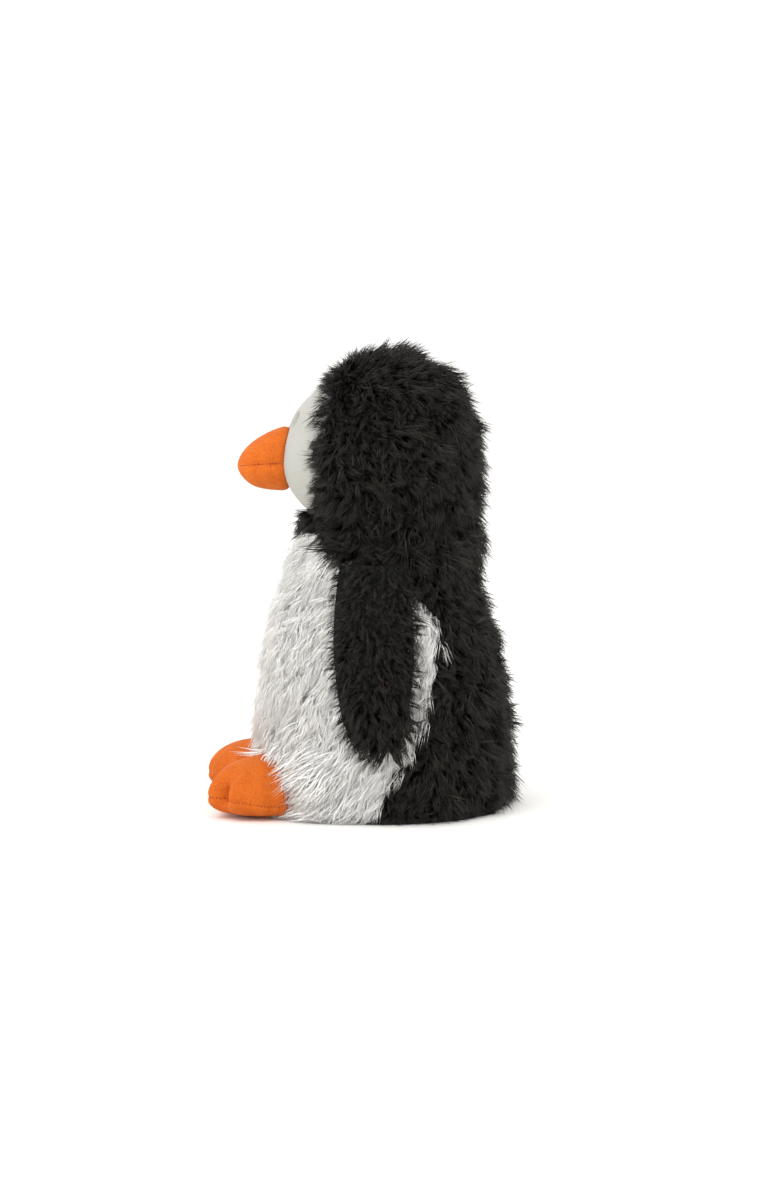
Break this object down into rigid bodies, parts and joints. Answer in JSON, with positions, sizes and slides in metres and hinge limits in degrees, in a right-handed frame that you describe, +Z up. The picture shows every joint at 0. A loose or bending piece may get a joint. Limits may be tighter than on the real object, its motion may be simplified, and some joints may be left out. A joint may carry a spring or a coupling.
{
  "type": "plush penguin",
  "caption": "Sitting plush penguin with long-pile black and white cover, short-pile face, stuffed orange beak and feet, and soft flippers sewn at the shoulders.",
  "frame": {"origin": "centre of the flat base, on the surface the toy rests on", "axes": "+Z up through the crown, -Y the way the beak points, +X the toy's left side"},
  "size_m": [0.1802, 0.191, 0.284],
  "materials": {
    "black_long_pile": "matte",
    "white_long_pile": "matte",
    "white_short_pile": "matte",
    "orange_velour": "matte",
    "fibre_fill": "matte",
    "bag_cloth": "matte",
    "pellet": "satin",
    "eye_plastic": "gloss",
    "washer_plastic": "satin"
  },
  "bodies": {
    "torso": {"belly_panel": "white_long_pile", "back_left_panel": "black_long_pile", "back_right_panel": "black_long_pile", "base_panel": "black_long_pile", "body_stuffing": "fibre_fill", "pellet_bag": "bag_cloth", "pellets": "pellet"},
    "head": {"head_left_panel": "black_long_pile", "head_right_panel": "black_long_pile", "face_panel": "white_short_pile", "head_stuffing": "fibre_fill", "beak_upper": "orange_velour", "beak_lower": "orange_velour", "beak_stuffing": "fibre_fill", "left_eye": "eye_plastic", "right_eye": "eye_plastic", "left_eye_washer": "washer_plastic", "right_eye_washer": "washer_plastic"},
    "left_flipper": {"left_flipper_outer": "black_long_pile", "left_flipper_inner": "black_long_pile", "left_flipper_stuffing": "fibre_fill"},
    "right_flipper": {"right_flipper_outer": "black_long_pile", "right_flipper_inner": "black_long_pile", "right_flipper_stuffing": "fibre_fill"},
    "left_foot": {"left_foot_top": "orange_velour", "left_foot_sole": "orange_velour", "left_foot_stuffing": "fibre_fill"},
    "right_foot": {"right_foot_top": "orange_velour", "right_foot_sole": "orange_velour", "right_foot_stuffing": "fibre_fill"}
  },
  "joints": [
    {"name": "neck_nod", "type": "hinge", "parent": "torso", "child": "head", "pos_m": [0, 0.001, 0.18], "axis": [1, 0, 0], "range_deg": [-12, 12], "stiffness_Nm_per_rad": 0.35},
    {"name": "left_flipper_lift", "type": "hinge", "parent": "torso", "child": "left_flipper", "pos_m": [0.054, -0.0105, 0.1605], "axis": [-0.1564, -0.9877, 0], "range_deg": [0, 90]},
    {"name": "right_flipper_lift", "type": "hinge", "parent": "torso", "child": "right_flipper", "pos_m": [-0.054, -0.0105, 0.1605], "axis": [-0.1564, 0.9877, 0], "range_deg": [0, 90]},
    {"name": "left_foot_flex", "type": "hinge", "parent": "torso", "child": "left_foot", "pos_m": [0.031, -0.07261, 0.02], "axis": [-0.9272, -0.3746, 0], "range_deg": [0, 20], "stiffness_Nm_per_rad": 0.12},
    {"name": "right_foot_flex", "type": "hinge", "parent": "torso", "child": "right_foot", "pos_m": [-0.031, -0.07261, 0.02], "axis": [-0.9272, 0.3746, 0], "range_deg": [0, 20], "stiffness_Nm_per_rad": 0.12}
  ]
}
